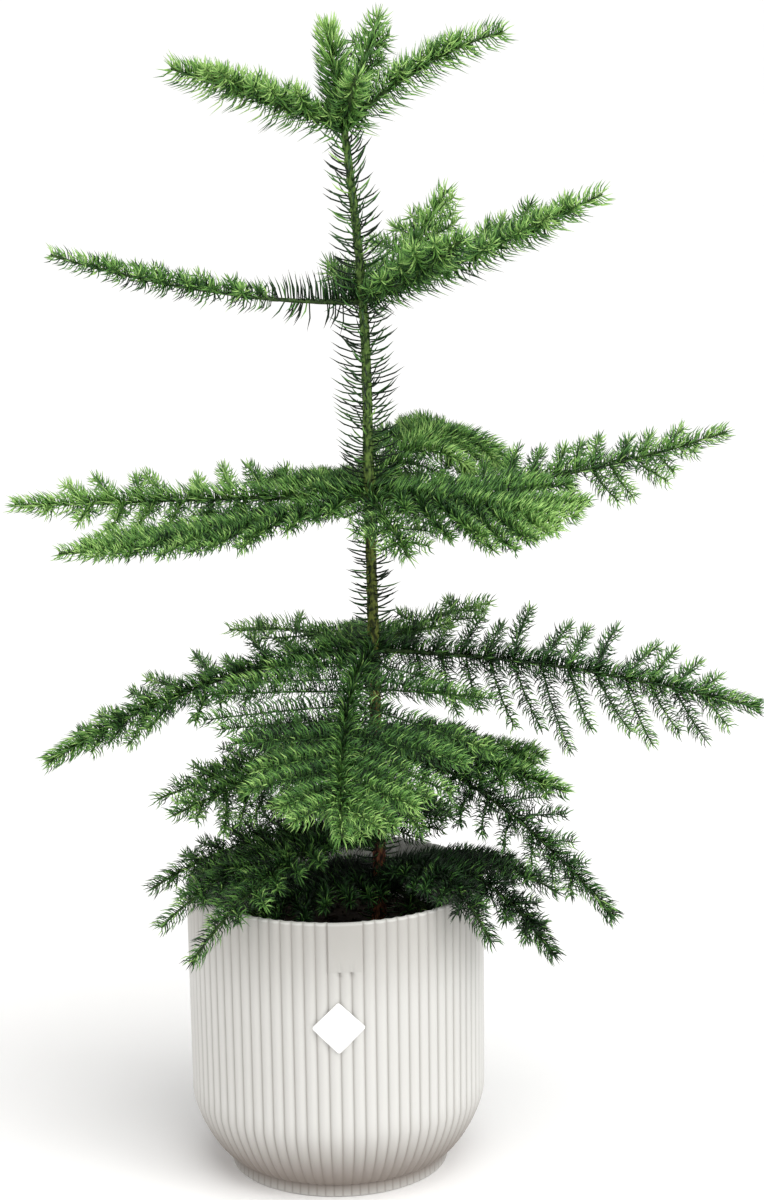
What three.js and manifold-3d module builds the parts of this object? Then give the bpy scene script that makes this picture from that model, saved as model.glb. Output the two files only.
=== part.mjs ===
import * as THREE from 'three';
import { mergeVertices } from 'three/addons/utils/BufferGeometryUtils.js';
import Module from 'manifold-3d';

// A young Norfolk Island pine in a round pot. Millimetres, +Z up. The origin is the
// middle of the pot's flat underside, and the pot's marked front faces -Y.
// Bearings are in degrees about +Z, from +X (0) towards +Y (90).

const wasm = await Module();
wasm.setup();

// ---- Driving dimensions -------------------------------------------------------

const gap = 0.35;  // clearance between neighbouring solids
const cutMargin = 0.6;  // how far a solid is grown before it cuts its neighbour

const pot = {
  height: 181,
  rimRadius: 91,
  beltRadius: 90.4,  // where the side turns in towards the foot
  beltHeight: 48,
  footRadius: 67,
  footHeight: 8,
  turnPower: 1.43,  // how full the turn is: 1 is an ellipse, 2 a chamfer
  wall: 3.2,
  floor: 6,
  turnSteps: 5,
  facets: 36,
};
const soil = { top: 145 };
const tag = { side: 22.6, thickness: 0.8, height: 117, bearing: -88.6 };

// The trunk's middle line, from the soil up: x, y, height, and its radius there.
const trunk = [
  { x: 25.5, y: 0, z: soil.top + gap, radius: 6.2 },
  { x: 26.2, y: 0, z: 152, radius: 4.3 },
  { x: 27.2, y: 0, z: 205, radius: 3.6 },
  { x: 26, y: -1, z: 300, radius: 3.3 },
  { x: 24.6, y: 0, z: 417, radius: 3 },
  { x: 22.6, y: 1, z: 532, radius: 2.6 },
  { x: 18, y: 0.5, z: 590, radius: 2.3 },
  { x: 13, y: 0, z: 633, radius: 2 },
  { x: 4.5, y: 0, z: 692, radius: 0.7 },
];
const trunkSides = 8;
const leader = { from: 0.905, radius: 11, overshoot: 6, steps: 5 };

const limb = { baseRadius: 2.1, taperPerMm: 0.0075, sides: 5, stepLength: 14 };
const mass = {
  sides: 8,
  stepLength: 25,
  rootWidth: 2.6,
  tipWidth: 5,
  thickness: 9,
  edge: 0.55,  // the thickness left at the ends of the side shoots
  fullest: 0.38,  // how far out the longest side shoots grow
  opening: 0.75,
  closing: 1.6,
  lobeDepth: 0.16,
  rootFullness: 0.3,
  tipFullness: 0.45,
};

// Whorls of boughs. length runs out along the bearing, and rise is how far the tip
// stands above the whorl. arch lifts the middle of the bough, and swing bows it to its
// left, seen from the trunk. width is the longest side shoot. vee lifts both rows of side shoots, and roll lifts the left row, seen
// from the trunk, and lowers the right one. bare is the stretch of limb that shows
// before the foliage starts, and a bough with none is hidden in its foliage. What a
// bough leaves out is zero.
const whorls = [
  { name: 'whorl_1', z: 633, boughs: {
    left: { bearing: 180, length: 104, rise: 37, width: 22, vee: 14 },
    right: { bearing: 3, length: 98, rise: 54, arch: 9, width: 15, vee: 30 },
    back: { bearing: 72, length: 74, rise: 66, arch: 2, width: 18, vee: 12 },
    front: { bearing: -70, length: 28, rise: 34, arch: 3, width: 14, vee: 16 },
  } },
  { name: 'whorl_2', z: 532, boughs: {
    left: { bearing: 180, length: 187, rise: 32, arch: -8, width: 18, vee: 24, roll: -6, bare: 50 },
    right: { bearing: 8, length: 148, rise: 62, arch: -3, width: 32, vee: 18, roll: 6, bare: 14 },
    back_right: { bearing: 60, length: 108, rise: 63, arch: -9, width: 34, vee: 8, roll: -12, bare: 13 },
    front_right: { bearing: -42, length: 84, rise: 44, arch: -3, width: 26, vee: 18 },
    back: { bearing: 110, length: 62, rise: 18, width: 13, vee: 12 },
  } },
  { name: 'whorl_3', z: 417, boughs: {
    left: { bearing: 180, length: 216, rise: -3, width: 38, vee: 4, roll: -24, bare: 14 },
    front_left: { bearing: 207, length: 202, rise: -15, arch: -5, width: 42, vee: -2, roll: -2, bare: 16 },
    back_left: { bearing: 146, length: 86, rise: 1, arch: 3, width: 34, vee: 4 },
    back: { bearing: 98, length: 108, rise: -8, arch: 3, width: 38, vee: 4 },
    back_right: { bearing: 50, length: 112, rise: 16, arch: 19, width: 44, vee: -6, roll: 12, bare: 14 },
    right: { bearing: 3, length: 218, rise: 35, arch: -9, width: 44, vee: -2, roll: 24, bare: 14 },
    front_right: { bearing: -32, length: 134, rise: -6, arch: 3, width: 50, vee: -5, roll: 20, bare: 14 },
    front: { bearing: -72, length: 74, rise: -27, arch: 2, width: 20, vee: 0 },
  } },
  { name: 'whorl_4', z: 323, boughs: {
    left: { bearing: 188, length: 202, rise: -63, arch: 15, width: 40, vee: 2, roll: -14, bare: 14 },
    front: { bearing: -95, length: 190, rise: -64, arch: 10, swing: -9, width: 92, vee: -3, bare: 15 },
    right: { bearing: -3, length: 236, rise: -38, arch: 7, width: 54, vee: -4, roll: 27, bare: 14 },
    back_right: { bearing: 41, length: 100, rise: 14, arch: 5, width: 34, vee: 4 },
    back: { bearing: 95, length: 150, rise: -20, arch: 2, width: 42, vee: 0 },
    back_left: { bearing: 143, length: 118, rise: -3, arch: 6, width: 36, vee: 2 },
  } },
  { name: 'whorl_5', z: 264, boughs: {
    left: { bearing: 195, length: 140, rise: -24, arch: 6, width: 38, vee: 0, roll: -8 },
    front_left: { bearing: 208, length: 140, rise: -26, arch: 5, width: 34, vee: -6 },
    front: { bearing: -108, length: 100, rise: -22, arch: 8, width: 36, vee: -4 },
    right: { bearing: -3, length: 106, rise: -9, arch: 2, width: 30, vee: -4, roll: 4 },
    right_middle: { bearing: -19, length: 124, rise: -22, arch: 5, width: 28, vee: -4, roll: 6 },
    right_low: { bearing: -36, length: 172, rise: -84, arch: 20, width: 36, vee: 0, roll: 16, bare: 14 },
    back_left: { bearing: 138, length: 112, rise: -12, arch: 4, width: 34, vee: 2 },
    back_right: { bearing: 52, length: 92, rise: -12, arch: 3, width: 28, vee: 2 },
  } },
  { name: 'whorl_6', z: 206, boughs: {
    left: { bearing: 186, length: 144, rise: -30, arch: 17, width: 32, vee: 0, roll: -6 },
    front_left: { bearing: 207, length: 150, rise: -38, arch: 20, width: 30, vee: 0 },
    front_low: { bearing: 225, length: 158, rise: -46, arch: 24, width: 28, vee: 0 },
    back_right: { bearing: 70, length: 92, rise: -2, arch: 8, width: 28, vee: 2 },
    back_left: { bearing: 128, length: 116, rise: -6, arch: 8, width: 32, vee: 2 },
  } },
  { name: 'whorl_7', z: 177, boughs: {
    back_left: { bearing: 150, length: 98, rise: -14, arch: 4, width: 34, vee: 4 },
    back: { bearing: 114, length: 72, rise: -10, arch: 3, width: 24, vee: 2 },
    right: { bearing: -9, length: 114, rise: -7, arch: 19, width: 30, vee: 0, roll: 6 },
    right_low: { bearing: -34, length: 128, rise: -31, arch: 31, width: 38, vee: 0 },
    front_right: { bearing: -54, length: 114, rise: -15, arch: 27, width: 28, vee: 0 },
    front: { bearing: -36, length: 46, rise: -16, arch: 2, width: 26, vee: 0 },
    front_left: { bearing: 208, length: 92, rise: -10, arch: 5, width: 30, vee: 0 },
  } },
];

// ---- Finishes -------------------------------------------------------------------

const finish = (color, roughness) => ({ color, roughness, metalness: 0 });
const finishes = {
  pot: finish(0xdcdbd4, 0.45),
  soil: finish(0x33251b, 0.95),
  tag: finish(0xfafaf7, 0.35),
  bark: finish(0x5d4a2c, 0.8),
  foliage: finish(0x3c6e34, 0.6),
};

const plant = new THREE.Group();

function addPart(name, geometry, finishName) {
  const mesh = new THREE.Mesh(geometry, new THREE.MeshStandardMaterial(finishes[finishName]));
  mesh.name = name;
  plant.add(mesh);
}

// ---- Closed meshes and solids -----------------------------------------------------

// Leaves only positions, joins the points that fall together and drops flat faces.
function weld(geometry) {
  const plain = geometry.clone();
  plain.deleteAttribute('normal');
  plain.deleteAttribute('uv');
  const joined = mergeVertices(plain, 1e-3);
  const corners = joined.index.array;
  const kept = [];
  for (let i = 0; i < corners.length; i += 3) {
    const [a, b, c] = corners.slice(i, i + 3);
    if (a !== b && b !== c && c !== a) kept.push(a, b, c);
  }
  joined.setIndex(kept);
  return joined;
}

function toSolid(geometry) {
  const vertProperties = new Float32Array(geometry.attributes.position.array);
  const triVerts = new Uint32Array(geometry.index.array);
  return new wasm.Manifold(new wasm.Mesh({ numProp: 3, vertProperties, triVerts }));
}

function toGeometry(solid) {
  const mesh = solid.getMesh();
  const geometry = new THREE.BufferGeometry();
  geometry.setAttribute('position', new THREE.BufferAttribute(new Float32Array(mesh.vertProperties), 3));
  geometry.setIndex([...mesh.triVerts]);
  return geometry;
}

// A closed tube whose unit circle is carried to place by a function of the fraction
// of its length and of the circle's own two coordinates.
function sweep(sides, steps, place) {
  const geometry = new THREE.CylinderGeometry(1, 1, 1, sides, steps);
  const points = geometry.attributes.position;
  for (let i = 0; i < points.count; i += 1) {
    const t = points.getY(i) + 0.5;
    const spot = place(t, points.getZ(i), points.getX(i));
    points.setXYZ(i, spot.x, spot.y, spot.z);
  }
  return weld(geometry);
}

const radians = THREE.MathUtils.degToRad;
const mix = THREE.MathUtils.lerp;

// ---- Pot, soil and tag --------------------------------------------------------------

// The pot's side from the foot to the rim, set in by some distance from its outside.
function potSide(inset, lowest) {
  const side = [];
  const footRadius = pot.footRadius - inset;
  const beltRadius = pot.beltRadius - inset;
  for (let i = 0; i <= pot.turnSteps; i += 1) {
    const angle = (Math.PI / 2) * (1 - i / pot.turnSteps);
    const radius = footRadius + (beltRadius - footRadius) * Math.cos(angle) ** pot.turnPower;
    const height = pot.beltHeight - (pot.beltHeight - lowest) * Math.sin(angle) ** pot.turnPower;
    side.push(new THREE.Vector2(radius, height));
  }
  return side;
}

function lathe(profile, facets) {
  const geometry = new THREE.LatheGeometry(profile, facets);
  geometry.rotateX(Math.PI / 2);
  return weld(geometry);
}

function makePot() {
  const outside = [
    new THREE.Vector2(0, 0),
    new THREE.Vector2(pot.footRadius, 0),
    ...potSide(0, pot.footHeight),
    new THREE.Vector2(pot.rimRadius, pot.height),
  ];
  const inside = [
    new THREE.Vector2(pot.rimRadius - pot.wall, pot.height),
    ...potSide(pot.wall, pot.floor).reverse(),
    new THREE.Vector2(0, pot.floor),
  ];
  return lathe([...outside, ...inside], pot.facets);
}

function makeSoil() {
  const inset = pot.wall + 2 * gap;
  const rise = (soil.top - pot.beltHeight) / (pot.height - pot.beltHeight);
  const topRadius = mix(pot.beltRadius, pot.rimRadius, rise) - inset;
  const profile = [
    new THREE.Vector2(0, pot.floor + gap),
    ...potSide(inset, pot.floor + gap),
    new THREE.Vector2(topRadius, soil.top),
    new THREE.Vector2(0, soil.top),
  ];
  return lathe(profile, pot.facets);
}

// A blank square tag standing on its corner, bent round the pot's side.
function makeTag() {
  const cells = 4;
  const geometry = new THREE.BoxGeometry(tag.side, tag.thickness, tag.side, cells, 1, cells);
  geometry.rotateY(Math.PI / 4);
  const middle = pot.rimRadius + gap + tag.thickness / 2;
  const points = geometry.attributes.position;
  for (let i = 0; i < points.count; i += 1) {
    const radius = middle - points.getY(i);
    const angle = radians(tag.bearing) + points.getX(i) / middle;
    points.setXYZ(i, radius * Math.cos(angle), radius * Math.sin(angle), tag.height + points.getZ(i));
  }
  return weld(geometry);
}

// ---- Trunk -----------------------------------------------------------------------------

const trunkLine = new THREE.CatmullRomCurve3(trunk.map((p) => new THREE.Vector3(p.x, p.y, p.z)));

// The trunk's radius at a height, straight between the named stations.
function trunkRadius(height) {
  const above = Math.max(1, trunk.findIndex((p) => p.z >= height));
  const [low, high] = [trunk[above - 1], trunk[above]];
  const part = THREE.MathUtils.clamp((height - low.z) / (high.z - low.z), 0, 1);
  return mix(low.radius, high.radius, part);
}

function trunkAt(height) {
  let [low, high] = [0, 1];
  for (let i = 0; i < 30; i += 1) {
    const middle = (low + high) / 2;
    if (trunkLine.getPoint(middle).z < height) low = middle;
    else high = middle;
  }
  return trunkLine.getPoint(low);
}

function makeTrunk(grow) {
  const steps = 2 * (trunk.length - 1);
  return sweep(trunkSides, steps, (t, across, along) => {
    const middle = trunkLine.getPoint(t);
    const radius = trunkRadius(middle.z) + grow;
    return new THREE.Vector3(middle.x + across * radius, middle.y + along * radius, middle.z);
  });
}

// How full a spray of needles is along its length: thinner at its root and its tip.
function fullness(t) {
  return Math.min(1, mass.rootFullness + 2.5 * t, mass.tipFullness + 2.2 * (1 - t));
}

// The brush of needles round the trunk's top, past its tip.
function makeLeader() {
  return sweep(trunkSides, leader.steps, (t, across, along) => {
    const middle = trunkLine.getPoint(mix(leader.from, 1, t));
    const radius = leader.radius * fullness(t);
    const height = middle.z + leader.overshoot * t ** 4;
    return new THREE.Vector3(middle.x + across * radius, middle.y + along * radius, height);
  });
}

// ---- Boughs and masses of foliage ----------------------------------------------------------

// Unit steps out along a bough's bearing and to its left, seen from the trunk.
function directions(bough) {
  const bearing = radians(bough.bearing);
  const out = new THREE.Vector3(Math.cos(bearing), Math.sin(bearing), 0);
  const left = new THREE.Vector3(-Math.sin(bearing), Math.cos(bearing), 0);
  return { out, left };
}

// The bough's middle line at a distance out from the trunk's middle.
function boughPoint(bough, distance) {
  const part = distance / bough.length;
  const bow = 4 * part * (1 - part);
  const { out, left } = directions(bough);
  const point = trunkAt(bough.z).addScaledVector(out, distance).addScaledVector(left, bough.swing * bow);
  point.z = bough.z + bough.rise * part + bough.arch * bow;
  return point;
}

function makeLimb(bough, grow) {
  const steps = Math.max(1, Math.round(bough.bare / limb.stepLength));
  const { left } = directions(bough);
  return sweep(limb.sides, steps, (t, across, up) => {
    const distance = t * (bough.bare + grow);
    const radius = limb.baseRadius * (1 - limb.taperPerMm * distance) + grow;
    const point = boughPoint(bough, distance).addScaledVector(left, across * radius);
    point.z += up * radius;
    return point;
  });
}

// Side shoots grow longer up to the fullest place on the bough and then shorten to its blunt tip.
function spread(t) {
  if (t < mass.fullest) return (t / mass.fullest) ** mass.opening;
  return Math.sqrt(1 - ((t - mass.fullest) / (1 - mass.fullest)) ** mass.closing);
}

function makeMass(bough, grow) {
  const start = (bough.bare || trunkRadius(bough.z)) + gap;
  const steps = Math.max(4, Math.round((bough.length - start) / mass.stepLength));
  const { left } = directions(bough);
  return sweep(mass.sides, steps, (t, across, up) => {
    const endGrowth = grow * (Math.floor(t) - Math.floor(1 - t));
    const lobe = 1 + mass.lobeDepth * Math.sin(Math.PI * (steps * t + 0.26 * bough.length));
    const endWidth = mix(mass.rootWidth, mass.tipWidth, t);
    const reach = Math.abs(across) * (endWidth + (bough.width - endWidth) * spread(t) * lobe + grow);
    const side = Math.sign(across);
    const lift = radians(bough.vee + side * bough.roll);
    const edge = 1 - (1 - mass.edge) * Math.abs(across);
    const thickness = mass.thickness * fullness(t) * edge + grow;
    const point = boughPoint(bough, mix(start, bough.length, t) + endGrowth);
    point.addScaledVector(left, side * reach * Math.cos(lift));
    point.z += reach * Math.sin(lift) + up * thickness;
    return point;
  });
}

// ---- Assembly ---------------------------------------------------------------------------------

addPart('pot', makePot(), 'pot');
addPart('soil', makeSoil(), 'soil');
addPart('tag', makeTag(), 'tag');
addPart('trunk', makeTrunk(0), 'bark');

// Solids that later ones are cut clear of, each grown a little.
const neighbours = [toSolid(makeTrunk(gap))];

function boxOf(solid) {
  const { min, max } = solid.boundingBox();
  return new THREE.Box3(new THREE.Vector3(...min), new THREE.Vector3(...max));
}

// What is left of a shape beside its neighbours, without the crumbs that the cuts leave.
function cutClear(geometry) {
  let solid = toSolid(geometry);
  for (const neighbour of neighbours) {
    if (boxOf(solid).intersectsBox(boxOf(neighbour))) solid = solid.subtract(neighbour);
  }
  const [largest] = solid.decompose().sort((a, b) => b.volume() - a.volume());
  return toGeometry(largest);
}

const straight = { arch: 0, swing: 0, roll: 0, bare: 0 };
const boughs = whorls.flatMap(({ name, z, boughs: ring }) => (
  Object.entries(ring).map(([place, bough]) => ({ ...straight, ...bough, z, label: `${name}_${place}` }))
));

for (const bough of boughs.filter(({ bare }) => bare > 0)) {
  addPart(`${bough.label}_bough`, cutClear(makeLimb(bough, 0)), 'bark');
  neighbours.push(toSolid(makeLimb(bough, gap)));
}

addPart('leader_foliage', cutClear(makeLeader()), 'foliage');
neighbours.push(toSolid(makeLeader()));

for (const bough of boughs) {
  addPart(`${bough.label}_foliage`, cutClear(makeMass(bough, 0)), 'foliage');
  neighbours.push(toSolid(makeMass(bough, cutMargin)));
}

export default plant;
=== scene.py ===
import math

import bpy
import bmesh
import numpy as np
from mathutils import Matrix, Vector


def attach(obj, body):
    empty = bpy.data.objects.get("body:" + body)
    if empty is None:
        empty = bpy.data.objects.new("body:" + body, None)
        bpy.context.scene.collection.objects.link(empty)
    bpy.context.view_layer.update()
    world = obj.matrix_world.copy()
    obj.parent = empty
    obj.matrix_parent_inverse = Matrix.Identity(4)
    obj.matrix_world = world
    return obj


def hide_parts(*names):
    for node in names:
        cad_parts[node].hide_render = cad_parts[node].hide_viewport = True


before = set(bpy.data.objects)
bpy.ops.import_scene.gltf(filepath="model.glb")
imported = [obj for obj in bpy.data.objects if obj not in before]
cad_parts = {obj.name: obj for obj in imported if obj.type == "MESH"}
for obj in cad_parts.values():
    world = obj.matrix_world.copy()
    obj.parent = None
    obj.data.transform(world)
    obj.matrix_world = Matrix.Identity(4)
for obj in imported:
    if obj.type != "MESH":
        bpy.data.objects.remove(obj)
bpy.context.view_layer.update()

mm = 0.001
rng = np.random.default_rng(714)

# bearings are degrees round +Z from +X, and the pot's marked front faces -Y
# pieces are measured in mm, and the camera, lamps, floor and materials in metres

shot = dict(place=(0.0312, -1.650, 0.7068), pitch=12.091, roll=-0.846, lens=84.46, far=4000)
studio = dict(world=(1.0, 1.0, 1.0), worldStrength=0.5,
              sun=dict(place=(0.8, -1.3, 2.6), angle=56, strength=2.35, tint=(1.0, 0.99, 0.975)),
              lamps=[dict(place=(1.5, -1.0, 0.9), size=0.9, power=9, tint=(1.0, 0.99, 0.97)),
                     dict(place=(-1.6, -0.9, 1.2), size=1.4, power=9, tint=(1.0, 0.95, 0.91))],
              aim=(0.0, 0.0, 0.30), floorSize=3000, floorTint=(0.985, 0.985, 0.985), horizon=(0, 1500, 30))


def addCamera():
    bpy.ops.object.camera_add(location=shot["place"])
    camera = bpy.context.object
    tilt = Matrix.Rotation(math.radians(90 - shot["pitch"]), 3, "X")
    turn = Matrix.Rotation(math.radians(shot["roll"]), 3, "Z")
    camera.rotation_euler = (tilt @ turn).to_euler()
    camera.data.lens = shot["lens"]
    camera.data.clip_end = shot["far"]
    bpy.context.scene.camera = camera


def addLamp(kind, lamp, energy):
    bpy.ops.object.light_add(type=kind, location=lamp["place"])
    made = bpy.context.object
    away = Vector(lamp["place"]) - Vector(studio["aim"])
    made.rotation_euler = away.to_track_quat("Z", "Y").to_euler()
    made.data.energy = energy
    made.data.color = lamp["tint"]
    return made.data


def addLamps():
    addLamp("SUN", studio["sun"], studio["sun"]["strength"]).angle = math.radians(studio["sun"]["angle"])
    for lamp in studio["lamps"]:
        addLamp("AREA", lamp, lamp["power"]).size = lamp["size"]


def addWorld():
    world = bpy.data.worlds.new("studio")
    bpy.context.scene.world = world
    world.use_nodes = True
    sky = world.node_tree.nodes["Background"]
    sky.inputs["Color"].default_value = (*studio["world"], 1)
    sky.inputs["Strength"].default_value = studio["worldStrength"]


class Wire:  # a socket that works in sums like a number
    def __init__(self, paint, socket):
        self.paint = paint
        self.socket = socket

    def sum(self, kind, left, right):
        return self.paint.node("ShaderNodeMath", {"operation": kind}, {0: left, 1: right})

    def __add__(self, other):
        return self.sum("ADD", self, other)

    def __sub__(self, other):
        return self.sum("SUBTRACT", self, other)

    def __rsub__(self, other):
        return self.sum("SUBTRACT", other, self)

    def __mul__(self, other):
        return self.sum("MULTIPLY", self, other)

    __radd__ = __add__
    __rmul__ = __mul__


class Paint:  # one material, with its principled shader
    def __init__(self, name, **fixed):
        self.material = bpy.data.materials.new(name)
        self.material.use_nodes = True
        self.tree = self.material.node_tree
        self.shader = self.tree.nodes["Principled BSDF"]
        for socket, value in fixed.items():
            self.shader.inputs[socket.replace("_", " ")].default_value = value

    def node(self, kind, settings, inputs, output=0):
        made = self.tree.nodes.new(kind)
        for name, value in settings.items():
            if name == "stops":
                self.setStops(made.color_ramp, value)
            else:
                setattr(made, name, value)
        for name, value in inputs.items():
            self.feed(made.inputs[name], value)
        return Wire(self, made.outputs[output])

    def setStops(self, ramp, stops):
        for element, (place, colour) in zip(ramp.elements, stops):
            element.position = place
            element.color = (*colour, 1)

    def feed(self, socket, value):
        if isinstance(value, Wire):
            self.tree.links.new(value.socket, socket)
        elif socket.type == "RGBA":
            socket.default_value = (*value, 1)
        else:
            socket.default_value = value

    def set(self, socket, value):
        self.feed(self.shader.inputs[socket], value)

    def place(self):
        return self.node("ShaderNodeTexCoord", {}, {}, "Object")

    def height(self):
        return self.node("ShaderNodeSeparateXYZ", {}, {0: self.place()}, "Z")

    def mark(self, name):
        return self.node("ShaderNodeAttribute", {"attribute_name": name}, {}, "Fac")

    def noise(self, scale, detail, stretch=(1, 1, 1)):
        mapped = self.node("ShaderNodeMapping", {}, {"Vector": self.place(), "Scale": stretch})
        return self.node("ShaderNodeTexNoise", {}, {"Vector": mapped, "Scale": scale, "Detail": detail})

    def ramp(self, value, *stops):
        return self.node("ShaderNodeValToRGB", {"stops": stops}, {"Fac": value})

    def step(self, value, low, high):
        sockets = {"Value": value, "From Min": low, "From Max": high}
        return self.node("ShaderNodeMapRange", {"interpolation_type": "SMOOTHSTEP"}, sockets)

    def blend(self, factor, under, over):
        return self.node("ShaderNodeMix", {"data_type": "RGBA"}, {0: factor, 6: under, 7: over}, 2)

    def bump(self, height, depth, strength):
        sockets = {"Height": height, "Distance": depth, "Strength": strength}
        self.set("Normal", self.node("ShaderNodeBump", {}, sockets))


def rgb(red, green, blue):
    def linear(value):
        value /= 255
        return value / 12.92 if value < 0.04045 else ((value + 0.055) / 1.055) ** 2.4
    return (linear(red), linear(green), linear(blue))


def deselect():
    bpy.ops.object.select_all(action="DESELECT")


def choose(piece):
    deselect()
    piece.select_set(True)
    bpy.context.view_layer.objects.active = piece


def placeInMesh(piece):
    choose(piece)
    bpy.ops.object.transform_apply(location=True, rotation=True, scale=True)


def addModifier(piece, kind, **settings):
    made = piece.modifiers.new(kind.lower(), kind)
    for name, value in settings.items():
        setattr(made, name, value)
    choose(piece)
    bpy.ops.object.modifier_apply(modifier=made.name)


def openMesh():  # to edit mode, with everything selected
    bpy.ops.object.mode_set(mode="EDIT")
    bpy.ops.mesh.select_all(action="SELECT")


def closeMesh():  # back to object mode, with every face pointing out
    bpy.ops.mesh.select_all(action="SELECT")
    bpy.ops.mesh.normals_make_consistent(inside=False)
    bpy.ops.object.mode_set(mode="OBJECT")


def pick(piece, wanted):  # selects the points in edit mode whose place passes a test
    cage = bmesh.from_edit_mesh(piece.data)
    for point in cage.verts:
        point.select_set(wanted(point.co))
    cage.select_flush_mode()
    bmesh.update_edit_mesh(piece.data)


def pull(way):  # extrudes what is selected
    bpy.ops.mesh.extrude_region_move(TRANSFORM_OT_translate={"value": way})


def narrow(factor, centre=(0, 0, 0)):  # scales what is selected across, and leaves its height
    bpy.ops.transform.resize(value=(factor, factor, 1), center_override=centre)


def finishPiece(piece, name, slot, nodes, *paints):
    piece.name = name
    piece.data.name = name
    for paint in paints:
        piece.data.materials.append(paint.material)
    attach(piece, "root")
    if nodes:
        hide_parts(*nodes)
    print("made", name, len(piece.data.vertices), "points")


def meshFromLists(name, points, faces, kinds=None, smooth=True):
    mesh = bpy.data.meshes.new(name)
    sizes = np.array([len(face) for face in faces])
    corners = np.array([corner for face in faces for corner in face])
    mesh.vertices.add(len(points))
    mesh.vertices.foreach_set("co", (np.asarray(points) * mm).ravel())
    mesh.loops.add(len(corners))
    mesh.loops.foreach_set("vertex_index", corners)
    mesh.polygons.add(len(sizes))
    mesh.polygons.foreach_set("loop_start", np.concatenate([[0], np.cumsum(sizes)[:-1]]))
    if kinds is not None:
        mesh.polygons.foreach_set("material_index", kinds)
    mesh.polygons.foreach_set("use_smooth", np.full(len(sizes), smooth))
    mesh.update(calc_edges=True)
    mesh.validate()
    piece = bpy.data.objects.new(name, mesh)
    bpy.context.scene.collection.objects.link(piece)
    return piece


def addFloor():
    deselect()
    bpy.ops.mesh.primitive_plane_add(size=studio["floorSize"])
    floor = bpy.context.object
    floor.name = "pale_floor"
    bpy.ops.object.mode_set(mode="EDIT")
    pick(floor, lambda place: place.y > 0)
    pull(studio["horizon"])
    bpy.ops.object.mode_set(mode="OBJECT")
    paint = Paint("pale_floor", Roughness=0.6, Specular_IOR_Level=0.2)
    paint.set("Base Color", studio["floorTint"])
    floor.data.materials.append(paint.material)


# footRing gives the inset and height of the foot ring's inner steps, softness how far in a rounded edge's
# middle point lies. grooveDepths and grooveShades run from a groove's bottom, one mesh column at a time.
# The bare panel lies between panelRibs and starts at panelFoot, and the grooves under it end in dimples.
potShape = dict(height=181, rim=91, belt=90.4, beltHeight=48, foot=67, footHeight=8, fullness=1.43,
                turnSteps=16, wall=3.2, floor=6, hollow=2.5, footRing=((9, 2.5), (7, 0.2), (6, 0)),
                footEdge=1.4, lip=1.3, softness=0.3, ribs=80, columnsPerRib=8, firstGroove=-87.9,
                outerRows=(70, 95, 120, 140, 146.6, 148.4, 150, 151.2, 160, 172),
                innerRows=(170, 158, 150, 142, 120, 80), plainMiddle=40, shadeFoot=1,
                # grooveShades is painted shade in the grooves, and panelShade painted shade on the panel
                grooveDepths=(1.2, 0.72, 0.4, 0.13), grooveShades=(1.0, 0.2),
                panelFoot=150, panelRibs=(-1, 2), panelShade=0.24,
                dimple=0.85, dimpleGrooves=(0, 1), dimpleHeights=(148.2, 150.2), paintedLightFrom=118, innerPart=0.8)
# shell and cloud are the plastic's own tones; the other tints are painted shade in the grooves, under the rim
# and over the foot, and painted light on the inner wall
potTints = dict(shell=(0.575, 0.57, 0.545), cloud=(0.64, 0.637, 0.62), groove=(0.30, 0.285, 0.265),
                watermark=(0.38, 0.365, 0.34), inside=(0.86, 0.86, 0.84), grime=(0.19, 0.155, 0.13))
# heights where the painted shade over the foot and the painted shade under the rim come and go
potMarks = dict(grimeStarts=(-0.004, 0.010), grimeFades=(0.009, 0.060),
                watermarkStarts=(0.118, 0.176), watermarkFades=(0.179, 0.180))  # heights


def potSide(inset, lowest):  # the rounded side, from the foot up to the belt
    shape = potShape
    foot = shape["foot"] - inset
    steps = []
    for i in range(shape["turnSteps"] + 1):
        angle = (math.pi / 2) * (1 - i / shape["turnSteps"])
        radius = foot + (shape["belt"] - shape["foot"]) * math.cos(angle) ** shape["fullness"]
        rise = (shape["beltHeight"] - lowest) * math.sin(angle) ** shape["fullness"]
        steps.append((radius, shape["beltHeight"] - rise))
    return steps


def sideRadius(height):  # above the belt
    shape = potShape
    part = (height - shape["beltHeight"]) / (shape["height"] - shape["beltHeight"])
    return shape["belt"] + (shape["rim"] - shape["belt"]) * part


def potProfile():
    shape = potShape
    edge, lip, soft = shape["footEdge"], shape["lip"], shape["softness"]
    foot, top, wall = shape["foot"], shape["height"], shape["wall"]
    under = [(0, shape["hollow"])] + [(foot - inset, z) for inset, z in shape["footRing"]]
    under += [(foot - edge, 0), (foot - soft * edge, soft * edge), (foot, edge)]
    outer = potSide(0, shape["footHeight"])
    outer += [(sideRadius(z), z) for z in (*shape["outerRows"], top - 2 * lip)]
    rim = sideRadius(top)
    inner = rim - wall
    lipArc = [(rim, top - lip), (rim - soft * lip, top - soft * lip), (rim - lip, top),
              (inner + lip, top), (inner + soft * lip, top - soft * lip), (inner, top - lip)]
    down = [(sideRadius(z) - wall, z) for z in shape["innerRows"]]
    bowl = potSide(wall, shape["floor"])[::-1][::2]
    return under + outer + lipArc + down + bowl + [(0, shape["floor"])]


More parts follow.
